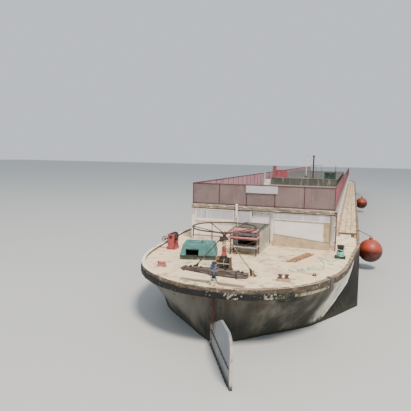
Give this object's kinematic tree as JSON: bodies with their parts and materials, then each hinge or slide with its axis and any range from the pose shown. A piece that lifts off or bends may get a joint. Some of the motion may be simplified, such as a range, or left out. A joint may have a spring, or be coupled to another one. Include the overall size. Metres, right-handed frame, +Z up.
{
  "type": "river barge, 1:2 scale model",
  "caption": "Half size model of a long concrete river barge with a flat roofed deckhouse, railed roof terrace, big turned rudder and a level steering wheel on its aft deck.",
  "frame": {"origin": "middle of the overall length and beam, on the flat bottom of the hull", "axes": "+X to starboard, +Y forward to the bow, +Z up"},
  "size_m": [5.148, 35.845, 3.508],
  "materials": {
    "weathered_concrete": "weathered cast concrete, stained",
    "cream_deck": "worn cream coating on concrete",
    "black_strake": "black, peeling",
    "rendered_wall": "pale painted render",
    "grey_green_paint": "dull grey green paint",
    "maroon_steel": "faded maroon paint",
    "rusty_steel": "rusted",
    "dark_steel": "dark, weathered",
    "pale_steel": "pale grey worn paint",
    "white_paint": "white paint, worn",
    "teal_paint": "teal paint, chalky",
    "old_timber": "dark weathered timber",
    "pale_plank": "bleached softwood boards",
    "teal_rope": "laid synthetic fibre, sun bleached",
    "red_paint": "faded red paint",
    "orange_rubber": "orange red, dull",
    "window_glazing": "dark window glass"
  },
  "bodies": {
    "barge": {"hull": "weathered_concrete", "aft_deck": "cream_deck", "fore_deck": "cream_deck", "port_side_deck": "cream_deck", "starboard_side_deck": "cream_deck", "rubbing_strake": "black_strake", "stern_wall": "rendered_wall", "port_wall_aft": "rendered_wall", "port_wall_fore": "rendered_wall", "starboard_wall_aft": "rendered_wall", "starboard_wall_fore": "rendered_wall", "fore_wall": "rendered_wall", "port_glazing": "window_glazing", "starboard_glazing": "window_glazing", "terrace_roof": "cream_deck", "fore_roof": "cream_deck", "roof_trunk": "grey_green_paint", "roof_steps": "white_paint", "roof_locker": "teal_paint", "stove_pipe": "dark_steel", "mast_foot": "dark_steel", "stern_railing": "maroon_steel", "port_railing": "maroon_steel", "starboard_railing": "maroon_steel", "port_fore_railing": "maroon_steel", "starboard_fore_railing": "maroon_steel", "trunk_railing": "maroon_steel", "steering_column": "rusty_steel", "port_column_stay": "rusty_steel", "starboard_column_stay": "rusty_steel", "stock_gland": "rusty_steel", "companion_box": "pale_steel", "deck_bench": "red_paint", "hatch_coaming": "teal_paint", "winch_frame": "rusty_steel", "starboard_bollard": "dark_steel", "starboard_bitts": "rusty_steel", "port_bollard": "red_paint", "bow_bitts": "dark_steel", "windlass_frame": "dark_steel", "sign_board": "white_paint", "downpipe": "rusty_steel", "vent_pole": "white_paint", "walkway_boards": "pale_plank", "deck_rope": "teal_rope", "starboard_fender_aft": "orange_rubber", "starboard_fender_fore": "orange_rubber", "port_fender_aft": "orange_rubber", "port_fender_fore": "orange_rubber"},
    "rudder": {"rudder_blade": "pale_steel", "rudder_stock": "rusty_steel", "tiller_beam": "old_timber"},
    "wheel": {"steering_wheel": "rusty_steel"},
    "stern_door_leaf": {"stern_door": "pale_steel"},
    "fore_door_leaf": {"fore_door": "pale_steel"},
    "lid": {"companion_lid": "grey_green_paint"},
    "hood": {"hatch_hood": "teal_paint"},
    "winch": {"winch_drum": "red_paint"},
    "windlass": {"windlass_drum": "rusty_steel"},
    "pole_mast": {"mast": "white_paint"}
  },
  "joints": [
    {"name": "rudder_turn", "type": "hinge", "parent": "barge", "child": "rudder", "pos_m": [0, -16.83247, 1], "axis": [0, 0, 1], "range_deg": [-68, 12]},
    {"name": "steering_wheel_turn", "type": "hinge", "parent": "barge", "child": "wheel", "pos_m": [-0.085, -16.04247, 2.15], "axis": [0, 0, 1], "range_deg": [-544, 96]},
    {"name": "stern_door_swing", "type": "hinge", "parent": "barge", "child": "stern_door_leaf", "pos_m": [-0.177, -13.64917, 1.9], "axis": [0, 0, 1], "range_deg": [0, 100]},
    {"name": "fore_door_swing", "type": "hinge", "parent": "barge", "child": "fore_door_leaf", "pos_m": [-0.902, 13.18423, 1.9], "axis": [0, 0, -1], "range_deg": [0, 100]},
    {"name": "companion_lid_lift", "type": "hinge", "parent": "barge", "child": "lid", "pos_m": [-0.045, -13.76247, 1.9853], "axis": [-1, 0, 0], "range_deg": [0, 85]},
    {"name": "hatch_hood_lift", "type": "hinge", "parent": "barge", "child": "hood", "pos_m": [-0.85058, -14.96638, 1.63], "axis": [-0.9703, -0.2419, 0], "range_deg": [0, 70]},
    {"name": "winch_turn", "type": "hinge", "parent": "barge", "child": "winch", "pos_m": [-1.49, -14.81247, 1.79], "axis": [0, 1, 0], "continuous": true},
    {"name": "windlass_turn", "type": "hinge", "parent": "barge", "child": "windlass", "pos_m": [0, 15.46753, 1.85], "axis": [1, 0, 0], "continuous": true},
    {"name": "mast_lowering", "type": "hinge", "parent": "barge", "child": "pole_mast", "pos_m": [-0.06, -4.13247, 2.688], "axis": [-1, 0, 0], "range_deg": [0, 90]}
  ],
  "couplings": [
    {"joint": "steering_wheel_turn", "follows": "rudder_turn", "ratio": 8}
  ]
}
